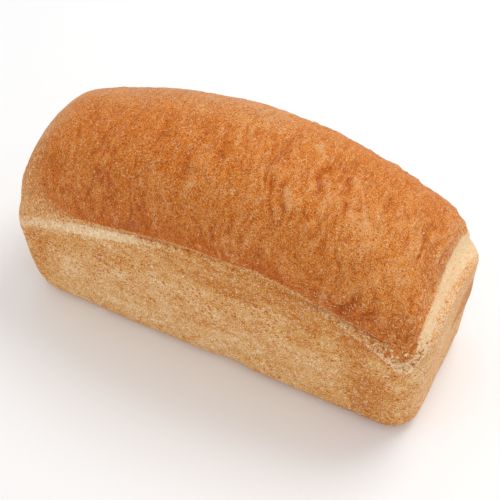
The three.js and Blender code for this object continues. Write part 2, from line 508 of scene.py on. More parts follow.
wrinkleZones = {
    # what the crown's wrinkles keep in places of their strength, depth and tone
    "strength": ({"along": (70, -70), "keeps": 0.55}, {"along": (-108, -128), "keeps": 0.4}),
    "depth": ({"along": (50, -60), "keeps": 0.5}, {"across": (-8, 22), "keeps": 0.55}),
    "tone": ({"across": (-8, 22), "keeps": 0.5},),
    "streaks": ({"along": (30, -60), "keeps": 0.5},),
    "betweenPatches": 0.45,
    "raised": {"above": (0, 9)},
    "toned": {"above": (-1, 4)},
    "cracked": {"across": (-10, -34)},
    "cracksMiddle": -60,
    "cracksReach": (52, 30),
    "heightCap": (0.3, 1.1),     # where height and tone begin to level off, and their limits
    "toneCap": (0.35, 0.6),
}
wallRough = {
    # unevenness of the walls; the pits go inwards
    "waves": {"size": 38, "seed": 6, "depth": 0.6},
    "fine": {"size": 3.0, "seed": 7, "octaves": 3, "stretch": (1.8, 1.8, 1), "depth": 0.10},
    "pits": {"size": 4.5, "seed": 8, "stretch": (1.5, 1.5, 1), "level": (0.35, 0.6), "depth": 0.25},
    "zone": {"below": (1, 8), "height": (0, 4)},
}
footFold = {
    # the groove where the crown left the walls
    "below": 1.3,
    "width": 1.2,
    "wander": 0.6,
}
tear = {
    # the torn edge at the front right; its place is in bandPlace
    "wander": {"size": 9, "seed": 10},
    "ragged": {"size": 3.2, "seed": 9, "octaves": 3},
    "threads": {"size": 1.7, "seed": 26},
    "zone": {"along": (60, 92), "across": (-25, -42)},
    "edgeWander": 1.2,
    "edgeWidth": 1.6,
    "edgeHeight": 0.35,
    "edgeThreads": 0.7,
    "edgeRagged": 0.5,
    "hollowBelow": 5,      # the hollow under the torn edge
    "hollowWidth": 4.5,
    "hollowDepth": 0.6,
    "strip": {"below": (1, 4)},
    "stripAboveEdge": (0, 3),
    "stripRagged": 0.6,
    "stripDepth": 0.5,
    "shreds": 0.8,         # how strong the strip and the corner are
    "corner": {"along": (108, 122), "across": (-28, -42), "below": (6, 12), "belowEnd": (32, 24)},
    "cornerRough": (0.4, 0.3),   # how much of the ragged noise and of the threads
    "band": {"along": (110, 20)},
    "bandRough": (0.3, 0.25),
    "spots": {"along": (40, 90), "across": (-36, -46), "below": (-0.5, 2)},
    "spotsAboveEdge": (-3, 1),
}
dentFloor = 0.2        # share of a dent's reach that is as deep as its middle
dents = [
    # centre in millimetres, how far it reaches and how deep it is; below 0 it is a bump
    {"at": (14, -52, 6), "reach": 16, "depth": 1.6},
    {"at": (136, 21, 38), "reach": 6.5, "depth": 2.0},
    {"at": (136, 25, 55), "reach": 14, "depth": -1.3},
]
bandEdges = {
    # how softly the pale band ends above and below, and below it at the right-hand end
    "above": 1.2,
    "below": (2.0, -1.5),
    "belowAtRight": (3.5, -1.0),
    "rightEnd": (118, 128),
}


def softened(points, fromFoot, edges):
    # melts the hard corner lines of the plain form, a little on every pass
    x = points[:, 0]
    count = np.bincount(edges.ravel(), minlength=len(points)).astype(float)
    left = smooth(x, *softening["leftEnd"]) * smooth(np.abs(fromFoot), *softening["leftBand"])
    right = smooth(np.abs(fromFoot + softening["rightBelow"]), *softening["rightBand"])
    right = smooth(x, *softening["rightEnd"]) * right
    foot = smooth(np.abs(fromFoot), *softening["footBand"])
    for amount, passes in ((left, "leftPasses"), (right, "rightPasses"), (foot, "footPasses")):
        for _ in range(softening[passes]):
            pull = neighbourMean(points, edges, count) - points
            points = points + pull * (amount * softening["pull"])[:, None]
    return points


def crownRelief(points, fromFoot):
    # height of the crown's unevenness, and the tone that goes with it
    def keeps(name):
        return kept(points, fromFoot, wrinkleZones[name])

    x, y = points[:, 0], points[:, 1]
    bend = sum(rough(points, wrinkleRun[kind]) * wrinkleRun[kind]["shift"] for kind in ("wide", "narrow"))
    across = points + np.column_stack([bend + wrinkleRun["slant"] * y, 0 * x, 0 * x])
    strength = mix(wrinkleZones["betweenPatches"], 1.0, patches(points, wrinklePatches["folds"]))
    strength = strength * keeps("strength")

    part = {kind: rough(across, wrinkles[kind]) for kind in ("folds", "ripples", "pleats", "streaks")}
    part["pleats"] = part["pleats"] * patches(points, wrinklePatches["pleats"])
    part["streaks"] = part["streaks"] * keeps("streaks")
    part["pinches"] = -valleys(across, wrinkles["pinches"]) * patches(points, wrinklePatches["pinches"])
    cracked = smooth(np.abs(x - wrinkleZones["cracksMiddle"]), *wrinkleZones["cracksReach"])
    cracked = cracked * zone(points, fromFoot, wrinkleZones["cracked"])
    cracked = cracked * patches(points, wrinklePatches["cracks"])
    part["cracks"] = -valleys(across, wrinkles["cracks"]) * cracked
    for kind in ("lumps", "dimples", "fine"):
        part[kind] = rough(points, wrinkles[kind])

    def added(measure, *kinds):
        return sum(part[kind] * wrinkles[kind][measure] for kind in kinds)

    height = added("depth", "folds", "ripples", "pleats", "pinches") * strength * keeps("depth")
    height = height + added("depth", "lumps", "streaks", "cracks", "dimples", "fine")
    tone = added("tone", "folds", "ripples", "pleats", "pinches") * strength
    tone = (tone + added("tone", "dimples", "streaks", "cracks")) * keeps("tone")
    height = softCap(height, *wrinkleZones["heightCap"]) * zone(points, fromFoot, wrinkleZones["raised"])
    tone = softCap(tone, *wrinkleZones["toneCap"]) * zone(points, fromFoot, wrinkleZones["toned"])
    return height, tone


def wallRelief(points, fromFoot):
    height = sum(rough(points, wallRough[kind]) * wallRough[kind]["depth"] for kind in ("waves", "fine"))
    height = height - patches(points, wallRough["pits"]) * wallRough["pits"]["depth"]
    return height * zone(points, fromFoot, wallRough["zone"])


def footRelief(points, fromFoot, crease, band):
    # the fold where the crown left the walls, and at the front right the torn edge below it
    below = -fromFoot
    ragged, threads, wander = (rough(points, tear[kind]) for kind in ("ragged", "threads", "wander"))

    def roughened(name):
        share, threadShare = tear[name + "Rough"]
        return (ragged * share + threads * threadShare) * zone(points, fromFoot, tear[name])

    edge = roundTheLoaf(points, bandPlace) + tear["edgeWander"] * wander
    strip = zone(points, fromFoot, tear["strip"]) * smooth(edge - below, *tear["stripAboveEdge"])
    strip = strip * (ragged * tear["stripRagged"] - tear["stripDepth"]) * tear["shreds"]
    lip = tear["edgeHeight"] + tear["edgeThreads"] * threads + tear["edgeRagged"] * ragged
    lip = lip * hump(below - edge, tear["edgeWidth"])
    hollow = hump(below - edge - tear["hollowBelow"], tear["hollowWidth"]) * tear["hollowDepth"]
    height = (strip + lip - hollow) * zone(points, fromFoot, tear["zone"])
    height += roughened("corner") * tear["shreds"] + roughened("band") * band
    groove = hump(below - footFold["below"] - footFold["wander"] * wander, footFold["width"])
    return height - crease * groove


def lipSpots(points, fromFoot):
    # brown spots on the tan skin between the crown's edge and the torn edge below it
    edge = roundTheLoaf(points, bandPlace)
    return zone(points, fromFoot, tear["spots"]) * smooth(edge + fromFoot, *tear["spotsAboveEdge"])


def dentRelief(points):
    height = np.zeros(len(points))
    for dent in dents:
        away = np.linalg.norm(points - np.array(dent["at"]), axis=1) / dent["reach"]
        height -= dent["depth"] * smooth(away, 1, dentFloor)
    return height


def paleBand(points, fromFoot):
    # 1 in the middle of the pale band; on the right-hand end it dies away slowly downwards
    off = -fromFoot - roundTheLoaf(points, bandPlace)
    width = roundTheLoaf(points, bandWidth)
    atRight = smooth(points[:, 0], *bandEdges["rightEnd"])
    outer, inner = (mix(a, b, atRight) for a, b in zip(bandEdges["below"], bandEdges["belowAtRight"]))
    above = smooth(-off, width + bandEdges["above"], width - bandEdges["above"])
    below = smooth(off, width + outer, width + inner)
    return np.where(off < 0, above, below) * roundTheLoaf(points, bandStrength)


# how the oven browned it, and where light, shade and sheen are painted on

crustBrowningAndPaintedLight = {
    "uneven": {"size": 18, "seed": 13},
    "flank": {"above": (24, 3), "aboveShift": 6, "below": (9, -2)},
    "zones": (
        # how much darker each makes the crust; below 0 it is paler
        {"along": (10, -60), "depth": 0.35},
        # paler on the far side of the crown: painted sheen
        {"along": (50, 0), "across": (-8, 14), "depth": -0.8},
        # paler on the right-hand end: painted light where the crust turns away from the lamps
        {"along": (117, 123), "across": (-40, -15), "depth": -0.5},
        {"along": (40, 105), "across": (14, -8), "above": (12, 34), "depth": -0.6},
    ),
}
paintedSheenZones = {
    # painted sheen: the crust made paler and duller on the left-hand end and on the far side of the crown,
    # where it is seen at a grazing angle
    "uneven": {"size": 14, "seed": 30},
    "end": {"along": (-112, -134), "alongShift": -8, "across": (-46, -16), "above": (0, 10), "depth": 1.3},
    "back": {"along": (60, -10), "across": (-4, 22), "acrossEnd": (46, 26), "acrossShift": 5,
             "above": (0, 10), "depth": 0.5},
}
wallBrowningAndPaintedLight = {
    "uneven": {"size": 24, "seed": 12},
    "least": 0.15,
    "fromEnd": (3, 15),    # the long walls' own browning, measured in from their ends
    "onEndWalls": 0.2,     # what is left of it on the end walls
    # under the crown's edge and along the base, with the depth at places along the loaf
    "upper": {"above": (-60, -6), "aboveShift": 6},
    "upperDepths": ((-130, 0.3), (-60, 0.4), (-10, 0.85), (40, 1.05)),
    "base": {"height": (18, -2), "heightShift": -7},
    "baseDepths": ((-60, 0.1), (10, 0.5), (110, 1.0)),
    # towards the left-hand end, less near the base, and low at the right, less at the corner
    "left": {"along": (-86, -120), "alongShift": -14, "depth": 0.75},
    "leftKept": ({"height": (40, 8), "keeps": 0.3},),
    "right": {"along": (80, 104), "alongShift": 10, "height": (78, 44), "depth": 1.25},
    "rightKept": ({"along": (110, 122), "alongShift": 4, "height": (6, 24), "keeps": 0.25},),
    # painted shadow on the wall under the torn edge at the front right
    "paintedShadowUnderLip": {"along": (64, 100), "across": (-36, -46), "depth": 0.4},
    "shadowBelowLip": 4,
    "shadowWidthUnderLip": 3.5,
    "lipSpots": -0.5,
    # painted light: the low walls made paler around the left half, against the shade near the floor
    "pale": {"height": (54, 14), "depth": 1.1},
    "paintedLightMiddle": -50,
    "paintedLightReach": (80, 24),
    "paintedLightShift": -12,
}
paintedEndShade = {
    # painted shade: one dark patch on the right-hand end wall, where it curves in
    "at": (136, 25, 56),
    "reach": (14, 15, 13),
    "ragged": {"size": 10, "seed": 35, "octaves": 3},
    "raggedShare": 0.7,
    "edge": (1.3, 0.3),    # in shares of the reach
    "depth": 3.4,
}


def browningAndPaintedLight(points, fromFoot):
    # how much deeper the crust has browned over the left half, how much darker it is made low on its
    # flanks, and where it is made paler: at the back as painted sheen, on the right-hand end as painted
    # light, and over the top at the right
    uneven = rough(points, crustBrowningAndPaintedLight["uneven"])
    depth = roundTheLoaf(points, flankTone) * zone(points, fromFoot, crustBrowningAndPaintedLight["flank"], uneven)
    for kind in crustBrowningAndPaintedLight["zones"]:
        depth += zone(points, fromFoot, kind) * kind["depth"]
    return depth


def paintedSheenMask(points, fromFoot):
    # how much painted sheen pales the crust
    uneven = rough(points, paintedSheenZones["uneven"])
    sheenParts = [zone(points, fromFoot, paintedSheenZones[name], uneven) * paintedSheenZones[name]["depth"] for name in ("end", "back")]
    return np.maximum(*sheenParts)


def toastAndPaintedLight(points, fromFoot):
    # how far the walls have browned: most under the crown's edge, along the base, towards the
    # left-hand end and low at the right; with a painted shadow under the torn edge, painted light
    # that pales the low walls, and painted shade in one dark patch on the right-hand end wall
    x = points[:, 0]
    uneven = rough(points, wallBrowningAndPaintedLight["uneven"])

    def browned(name):
        return zone(points, fromFoot, wallBrowningAndPaintedLight[name], uneven) * wallBrowningAndPaintedLight[name].get("depth", 1)

    def alongLoaf(name):
        places, values = zip(*wallBrowningAndPaintedLight[name])
        return np.interp(x, places, values)

    onSide = smooth(halfLength - np.abs(x), *wallBrowningAndPaintedLight["fromEnd"])
    upper = browned("upper") * alongLoaf("upperDepths") * onSide
    base = browned("base") * alongLoaf("baseDepths")
    left = browned("left") * kept(points, fromFoot, wallBrowningAndPaintedLight["leftKept"], uneven)
    right = browned("right") * kept(points, fromFoot, wallBrowningAndPaintedLight["rightKept"], uneven)
    depth = np.maximum.reduce([upper, base, left, right, wallBrowningAndPaintedLight["least"] + 0 * x])

    # painted shadow on the wall under the torn edge
    belowLip = fromFoot + roundTheLoaf(points, bandPlace) + wallBrowningAndPaintedLight["shadowBelowLip"]
    depth += browned("paintedShadowUnderLip") * hump(belowLip, wallBrowningAndPaintedLight["shadowWidthUnderLip"])
    depth += wallBrowningAndPaintedLight["lipSpots"] * lipSpots(points, fromFoot)
    # painted light that pales the low walls near the floor
    fromPaintedLight = np.abs(x - wallBrowningAndPaintedLight["paintedLightMiddle"]) + wallBrowningAndPaintedLight["paintedLightShift"] * uneven
    pale = browned("pale") * smooth(fromPaintedLight, *wallBrowningAndPaintedLight["paintedLightReach"])

    # painted shade in one dark patch on the right-hand end wall
    away = np.linalg.norm((points - paintedEndShade["at"]) / paintedEndShade["reach"], axis=1)
    away = away + paintedEndShade["raggedShare"] * rough(points, paintedEndShade["ragged"])
    endShade = smooth(away, *paintedEndShade["edge"]) * paintedEndShade["depth"]
    return np.maximum(depth * mix(wallBrowningAndPaintedLight["onEndWalls"], 1, onSide) - pale, endShade)


maskZones = {
    # where the right-hand end wall, the left half and the tear have looks of their own
    "atEnd": {"along": (112, 128), "across": (-48, -38)},
    "leftHalf": {"along": (30, -50)},
    "tear": {"along": (78, 96), "across": (-36, -46)},
}


def makeLoaf():
    points, quads, fromFoot, around = skinMesh()
    points, quads, fan, fromFoot = addBase(points, quads, fromFoot, around)
    mesh = bpy.data.meshes.new("breadLoaf")
    mesh.from_pydata((points * mm).tolist(), [], quads.tolist() + fan.tolist())
    points = softened(points, fromFoot, meshEdges(mesh))
    setPoints(mesh, points)
    normals = meshNormals(mesh)
    band = paleBand(points, fromFoot)
    crease = roundTheLoaf(points, creaseDepth)
    height, tone = crownRelief(points, fromFoot)
    height = height + wallRelief(points, fromFoot) + dentRelief(points)
    height += footRelief(points, fromFoot, crease, band)
    masks = {
        "crustSide": fromFoot + roundTheLoaf(points, crustReach),
        "crustFade": roundTheLoaf(points, crustFade),
        "paleBand": band,
        "crease": crease,
        "creaseSide": fromFoot + footFold["below"],
        **{name: zone(points, fromFoot, kind) for name, kind in maskZones.items()},
        "browningAndPaintedLight": browningAndPaintedLight(points, fromFoot),
        "lipSpots": lipSpots(points, fromFoot),
        "paintedSheen": paintedSheenMask(points, fromFoot),
        "toastAndPaintedLight": toastAndPaintedLight(points, fromFoot),
        "foldTone": tone,
    }
    for name, values in masks.items():
        setMask(mesh, name, values)
    isFlat = points[:, 2] < flatBelow
    height[isFlat] = 0
    points = points + normals * height[:, None]
    points[:, 2] = np.where(isFlat, 0, np.clip(points[:, 2], 0, fullHeight))
    points[:, 0] = np.clip(points[:, 0], -halfLength, halfLength)
    points[:, 1] = np.clip(points[:, 1], -halfWidth, halfWidth)
    setPoints(mesh, points)
    mesh.shade_smooth()
    loaf = bpy.data.objects.new("breadLoaf", mesh)
    bpy.context.scene.collection.objects.link(loaf)
    return loaf, points, fromFoot


# torn flakes, pale crumbs and curls of skin that lie on the crust

flakes = {
    # torn bits of crust along the torn edge at the front right, sizes in millimetres
    "count": 190,
    "length": (1.0, 3.0),
    "slim": (0.3, 0.7),    # how wide a flake is for its length
    "thick": 0.2,
    "tilt": 0.35,
    "seed": 11,
    "zone": {"along": (60, 106), "across": (-34, -46)},
    "edgeWidth": (1.6, 3.0),     # of the strip along the torn edge, wider at the corner
    "wider": {"along": (108, 122)},
    "between": {"below": (0, 3)},
    "aboveEdge": (-1, 2),
    "betweenShare": 0.35,        # how many lie between the foot line and the torn edge
}
crumbs = {
    # pale crumbs along the band, mostly at the front left, and below the torn corner
    "count": 300,
    "length": (0.5, 1.4),
    "slim": (0.5, 1.0),
    "thick": 0.25,
    "tilt": 0.4,
    "seed": 12,
    "zone": {"along": (-5, -40), "alongEnd": (-128, -116), "across": (-20, -40)},
    "pastBand": (1.5, -1),
    "corner": {"along": (114, 122), "across": (-34, -46), "below": (8, 12), "belowEnd": (24, 18)},
    "cornerShare": 0.5,
}
slivers = {
    # thin pale curls of skin on the crust near the torn corner
    "count": 640,
    "length": (0.9, 2.8),
    "slim": (0.12, 0.26),
    "thick": 0.1,
    "tilt": 0.25,
    "seed": 13,
    "zone": {"along": (50, 108), "across": (-34, -46), "above": (-6, 0), "aboveEnd": (30, 6)},
    "tornShare": 0.3,            # how many lie on the torn edge
}
chip = {
    # the plain lens that all three are made from, one unit in radius, and how it varies
    "corners": 8,
    "upper": (0.65, 0.5),        # radius and height of its upper ring
    "top": 0.6,
    "uneven": (0.3, 0.09),       # across and through it, in shares of its size
    "curl": (-0.2, 0.6),         # how far its ends may bend down and up, in half lengths
    "lift": 0.12,                # off the crust, in millimetres
    "shift": 0.4,                # any way at random
    "margin": 0.05,              # inside the solid's outer sizes
}


def chipShape():
    count = chip["corners"]
    turn = np.arange(count) * math.tau / count
    ring = np.column_stack([np.cos(turn), np.sin(turn), 0 * turn])
    radius, height = chip["upper"]
    upper = ring * radius + (0, 0, height)
    top = np.array([(0, 0, chip["top"])])
    points = np.concatenate([top, upper, ring, upper * (1, 1, -1), -top])
    faces = []
    for k in range(count):
        here, after = 1 + k, 1 + (k + 1) % count
        faces.append((0, here, after))
        faces.append((here, here + count, after + count, after))
        faces.append((here + count, here + 2 * count, after + 2 * count, after + count))
        faces.append((here + 2 * count, 1 + 3 * count, after + 2 * count))
    return points, faces


def scatterChips(name, kind, places, normals, chance):
    # chips lie where the chance is high, tilted and sunk or raised a little at random
    random = np.random.default_rng(kind["seed"])
    shape, faces = chipShape()
    chosen = random.choice(len(places), kind["count"], p=chance / chance.sum())
    limit = np.array([halfLength, halfWidth, fullHeight]) - chip["margin"]
    across, through = chip["uneven"]
    allPoints, allFaces, tones = [], [], []
    for number, spot in enumerate(chosen):
        length = random.uniform(*kind["length"]) / 2
        slim = random.uniform(*kind["slim"])
        bit = shape * (1 + random.uniform(-1, 1, (len(shape), 1)) * (across, across, through))
        bit = bit * (length, length * slim, kind["thick"])
        bit[:, 2] += random.uniform(*chip["curl"]) * bit[:, 0] ** 2 / length
        up = Vector(normals[spot]) + Vector(random.uniform(-1, 1, 3)) * kind["tilt"]
        turn = up.to_track_quat("Z", "X").to_matrix()
        spin = Matrix.Rotation(random.uniform(0, math.tau), 3, "Z")
        bit = bit @ np.array(turn @ spin).T
        bit += places[spot] + normals[spot] * chip["lift"] + random.uniform(-1, 1, 3) * chip["shift"]
        over = np.clip(np.abs(bit).max(0) - limit, 0, None)
        allPoints.append(bit - np.sign(places[spot]) * over)
        allFaces += [[corner + number * len(shape) for corner in face] for face in faces]
        tones += [random.uniform()] * len(shape)
    mesh = bpy.data.meshes.new(name)
    mesh.from_pydata((np.concatenate(allPoints) * mm).tolist(), [], allFaces)
    setMask(mesh, "chipTone", np.array(tones))
    mesh.shade_smooth()
    chips = bpy.data.objects.new(name, mesh)
    bpy.context.scene.collection.objects.link(chips)
    return chips


def makeChips(mesh, points, fromFoot):
    def within(kind, name="zone"):
        return zone(points, fromFoot, kind[name])

    normals = meshNormals(mesh)
    offEdge = -fromFoot - roundTheLoaf(points, bandPlace)
    edgeWidth = mix(*flakes["edgeWidth"], within(flakes, "wider"))
    between = within(flakes, "between") * smooth(-offEdge, *flakes["aboveEdge"])
    torn = (hump(offEdge, edgeWidth) + flakes["betweenShare"] * between) * within(flakes)
    pastBand = np.abs(offEdge) - roundTheLoaf(points, bandWidth)
    pale = smooth(pastBand, *crumbs["pastBand"]) * within(crumbs)
    pale += within(crumbs, "corner") * crumbs["cornerShare"]
    curled = within(slivers) + torn * slivers["tornShare"]
    return [
        scatterChips("tornFlakes", flakes, points, normals, torn),
        scatterChips("paleCrumbs", crumbs, points, normals, pale),
        scatterChips("skinSlivers", slivers, points, normals, curled),
    ]


# materials

def colour(red, green, blue):
    # sRGB from 0 to 255, as picked on a screen, to the linear colour that nodes take
    def linear(c):
        c = c / 255
        return c / 12.92 if c <= 0.04045 else ((c + 0.055) / 1.055) ** 2.4
    return (linear(red), linear(green), linear(blue), 1)


noiseMiddle = 0.5
speckCore = 0.5        # share of a speck's reach that has its full colour


class Nodes:
    # short words for the node tree of one material

    def __init__(self, material):
        material.use_nodes = True
        self.tree = material.node_tree
        self.tree.nodes.clear()

    def add(self, kind, **settings):
        made = self.tree.nodes.new(kind)
        for name, value in settings.items():
            setattr(made, name, value)
        return made

    def plug(self, value, socket):
        if hasattr(value, "is_output"):
            self.tree.links.new(value, socket)
        else:
            socket.default_value = value

    def math(self, operation, a, b=0.0, c=0.0):
        made = self.add("ShaderNodeMath", operation=operation)
        for socket, value in zip(made.inputs, (a, b, c)):
            self.plug(value, socket)
        return made.outputs[0]

    def times(self, a, b):
        return self.math("MULTIPLY", a, b)

    def timesPlus(self, a, b, c):
        return self.math("MULTIPLY_ADD", a, b, c)

    def ramp(self, value, start, end, low=0.0, high=1.0):
        made = self.add("ShaderNodeMapRange", interpolation_type="SMOOTHSTEP")
        for socket, setting in zip(made.inputs, (value, start, end, low, high)):
            self.plug(setting, socket)
        return made.outputs[0]

    def between(self, mask, low, high):
        # the low value where the mask is 0, the high one where it is 1
        return self.ramp(mask, 0, 1, low, high)

    def line(self, value, middle, reach):
        # 1 where the value is close to the middle, fading out over the reach
        off = self.math("SUBTRACT", value, middle) if middle else value
        return self.ramp(self.math("ABSOLUTE", off), *reach)

    def blend(self, share, a, b):
        made = self.add("ShaderNodeMix", data_type="RGBA")
        self.plug(share, made.inputs[0])
        self.plug(a, made.inputs[6])
        self.plug(b, made.inputs[7])
        return made.outputs[2]

    def lay(self, base, shade, mask, strength):
        # the shade laid over the base where the mask is 1
        return self.blend(self.times(mask, strength), base, shade)

    def shades(self, value, stops):
        # colours in order, each at its own level
        made = self.add("ShaderNodeValToRGB")
        self.plug(value, made.inputs[0])
        band = made.color_ramp
        while len(band.elements) < len(stops):
            band.elements.new(1)
        for element, (level, shade) in zip(band.elements, stops):
            element.position = level
            element.color = shade
        return made.outputs[0]

    def scaled(self, place, stretch=(1, 1, 1), shift=(0, 0, 0)):
        made = self.add("ShaderNodeMapping")
        self.plug(place, made.inputs["Vector"])
        made.inputs["Scale"].default_value = stretch
        made.inputs["Location"].default_value = shift
        return made.outputs[0]

    def noise(self, place, size, detail=2.0, roughness=0.5, distortion=0.0):
        # size is one lump, in millimetres
        made = self.add("ShaderNodeTexNoise")
        self.plug(place, made.inputs["Vector"])
        made.inputs["Scale"].default_value = 1 / (size * mm)
        made.inputs["Detail"].default_value = detail
        made.inputs["Roughness"].default_value = roughness
        made.inputs["Distortion"].default_value = distortion
        return made.outputs[0]

    def dots(self, place, spacing, reach, share):
        # scattered specks: 1 inside a speck, for that share of the evenly spread cells
        made = self.add("ShaderNodeTexVoronoi")
        self.plug(place, made.inputs["Vector"])
        made.inputs["Scale"].default_value = 1 / (spacing * mm)
        near = self.ramp(made.outputs["Distance"], reach, reach * speckCore)
        return self.times(near, self.math("LESS_THAN", made.outputs["Color"], share))

    def attribute(self, name):
        return self.add("ShaderNodeAttribute", attribute_name=name).outputs["Fac"]

    def bump(self, height, distance, strength):
        made = self.add("ShaderNodeBump")
        made.inputs["Distance"].default_value = distance * mm
        self.plug(strength, made.inputs["Strength"])
        self.plug(height, made.inputs["Height"])
        return made.outputs[0]

    def finish(self, sockets):
        # the shader, with its sockets by name
        shader = self.add("ShaderNodeBsdfPrincipled")
        for name, value in sockets.items():
            self.plug(value, shader.inputs[name])
        self.plug(shader.outputs[0], self.add("ShaderNodeOutputMaterial").inputs[0])


# A noise here is its size in millimetres, detail, roughness and distortion; specks are their
# spacing in millimetres, their reach in shares of it, and the share of the places that have one.
# A level or a reach in two numbers is where a look begins and where it is full. A stretch below 1
# draws a pattern out along that axis.

crust = {
    "shades": (
        (0.04, colour(166, 70, 10)),
        (0.34, colour(192, 98, 21)),
        (0.50, colour(206, 118, 34)),
        (0.72, colour(213, 141, 66)),
        (0.92, colour(219, 170, 121)),
    ),
    "patch": colour(218, 161, 113),
    "valley": colour(162, 72, 12),
    "bran": colour(140, 56, 2),
    "fleck": colour(228, 198, 156),
    # the pale dull colour of the painted sheen
    "paintedSheen": colour(206, 164, 126),
    "broad": (18, 2, 0.5),
    "middle": (3.4, 2, 0.6),
    "middleStretch": (1, 0.42, 0.5),
    "fine": (1.7, 2, 0.6, 0.4),
    "grains": (0.64, 1, 0.6),
    "middleLevel": 0.52,
    "broadShare": 0.2,     # how much each size of mottling changes the shade
    "middleShare": 0.15,
    "fineShare": (0.2, 2.2),     # stronger over the right-hand end
    "grainShare": 1.75,
    "foldShare": 0.3,
    "browningAndPaintedLightShare": 0.16,
    "patchBreaks": (1.0, 1.2, 1.6),    # how the middle, fine and grain mottling breaks a patch up
    "patchLevel": (0.1, 0.8),
    "patchStrength": 0.45,
    "valleyBreaks": (1.2, 1.4),        # the same for a valley, by the fine and grain mottling
    "valleyLevel": (-0.15, -0.7),
    "valleyStrength": 0.4,
    "lineStrength": 0.4,
    "paintedSheenBreaks": (1.4, 2.0),          # and for the painted sheen, by the middle and grain mottling
    "paintedSheenLevel": (0.1, 1.1),
    "paintedSheenStrength": 0.7,
    "crumple": 1.2,
    "branSpecks": (1.6, 0.36),
    "branShare": (0.34, 0.54),         # more over the left half
    "branStrength": 0.85,
    "flecks": (1.5, 0.3, 0.18),
    # two sets of flecks, each with its stretch and shift
    "fleckPlaces": (((1, 0.4, 0.4), (3.3, 1.7, 5.1)), ((0.4, 1, 0.7), (7.2, 4.4, 2.9))),
    "fleckStrength": 0.65,
    "curlSize": 1.5,
    "curlStrength": 0.45,
    "roughness": 0.55,
}
wrinkleLook = {
    # thin valleys that run across the loaf, in groups; they give the bump, and their dark colour is partly
    # the crust's own tone, partly painted shade
    "lines": (4.2, 2, 0.6, 0.4),
    "stretch": (1, 0.24, 0.3),
    "reach": (0.05, 0.005),
    "groups": (10, 2, 0.5),
    "groupLevel": (0.44, 0.56),
}
curlLook = {
    # short pale curly marks, where the flour's skin has flaked
    "shift": (1.1, 6.2, 3.7),
    "lines": (0, 0.5, 1.2),      # without the size, which is each crust's own
    "reach": (0.05, 0.01),
    "groupSize": 1.3,            # times the size of a curl
    "groups": (1, 0.5),
    "groupLevel": (0.5, 0.58),
}
wall = {
    "shades": (
        (0.00, colour(182, 102, 38)),
        (0.10, colour(196, 118, 48)),
        (0.30, colour(209, 146, 74)),
        (0.52, colour(221, 169, 98)),
        (0.74, colour(232, 192, 138)),
        (0.92, colour(240, 216, 190)),
    ),
    "bran": colour(184, 72, 0),
    "endTan": colour(226, 174, 122),
    "fleck": colour(240, 224, 202),
    "stretch": (0.8, 0.8, 1.0),
    "broad": (16, 3, 0.6),
    "broadStretch": (0.7, 0.7, 1),
    "middle": (4, 2, 0.6),
    "fine": (1.5, 2, 0.6, 0.4),
    "grains": (0.7, 1, 0.6),
    "middleLevel": 0.52,
    "toastAndPaintedLightShare": 0.3,     # how much deeper the walls are where they have browned or where light and shade are painted on
    "broadShare": 0.8,
    "middleShare": 0.6,
    "fineShare": 0.65,
    # a pair is the value on the long walls and on the right-hand end wall
    "grainShare": (2.1, 3.2),
    "endTanStrength": 0.3,
    "crumple": 1.8,
    "specks": (2.3, 0.42, 0.34),
    "speckStrength": (0.85, 0.45),
    "freckles": (1.5, 0.34, 0.3),
    "freckleShift": (1.3, 5.7, 3.1),
    "freckleStrength": (0.55, 0.8),
    "lipSpots": (2.6, 0.5, 0.5),
    "lipSpotShift": (4.1, 2.2, 6.3),
    "lipSpotStrength": 0.7,
    "curlSize": 1.6,
    "curlStrength": 0.8,
    "roughness": 0.78,
}
shred = {
    # the pale torn crumb of the band
    "cream": colour(251, 230, 197),
    # darker than the cream: partly the band's own tint on that end, partly painted shade that evens out the
    # stronger light there
    "endCream": colour(230, 210, 177),
    "shade": colour(230, 188, 136),
    "bran": colour(190, 104, 40),
    "soft": (1.6, 3, 0.7),
    "softLevel": (0.34, 0.64),
    "grains": (0.8, 1, 0.6),
    "grainLevel": (0.58, 0.36),
    "grainStrength": 0.75,
    "crumple": 1.8,
    "specks": (1.6, 0.36, 0.4),
    "speckStrength": (0.85, 0.6),      # less on the right-hand end wall
}
faded = {
    # the thin tan crust where the crown fades into the pale band
    "shades": (
        (0.3, colour(182, 104, 42)),
        (0.5, colour(212, 152, 92)),
        (0.7, colour(238, 196, 146)),
    ),
    "fine": (1.5, 2, 0.6, 0.4),
    "grains": (0.62, 1, 0.6),
    "grainShare": 1.2,
    "crumple": 1.2,
    "specks": (1.7, 0.36, 0.3),
    "speckStrength": 0.7,
}
crustEdge = {
    # the ragged lower edge of the browned crust
    "fine": (1.3, 3, 0.7),
    "soft": (5, 2, 0.5),
    "softShift": 2.5,
    "fineShift": 1.2,
    "fineShiftByFade": 2.2,            # added for every millimetre that the crust takes to fade
    "level": (0.25, 0.85),
    "fadedLevel": (-0.6, 0.9),
}
bandEdge = {
    "fine": (1.3, 3, 0.75),
    "fineShare": 2.8,
    "soft": (6, 2, 0.5),
    "softShare": 1.0,
    "level": (0.25, 0.85),
}
foldLook = {
    # painted shade darkens the fold under the crown, below a thin painted highlight along its edge
    "wander": 1.5,
    "reach": (1.1, 0.1),
    "breaks": (2.4, 2, 0.6),
    "breakLevel": (0.36, 0.54),
    "leastShare": 0.3,
    "strength": 0.6,
    "edgeAbove": 1.4,
    "edgeReach": (0.8, 0.1),
    "edgeBreaks": (3, 2, 0.6),
    "edgeLevel": (0.46, 0.6),
    "edgeStrength": 0.8,
}
skinBump = {
    "grain": (0.95, 2, 0.7),
    "lines": -0.6,
    "distance": 0.5,
    "strength": (0.3, 0.5),            # on the walls and on the crust
    "specular": 0.12,
}
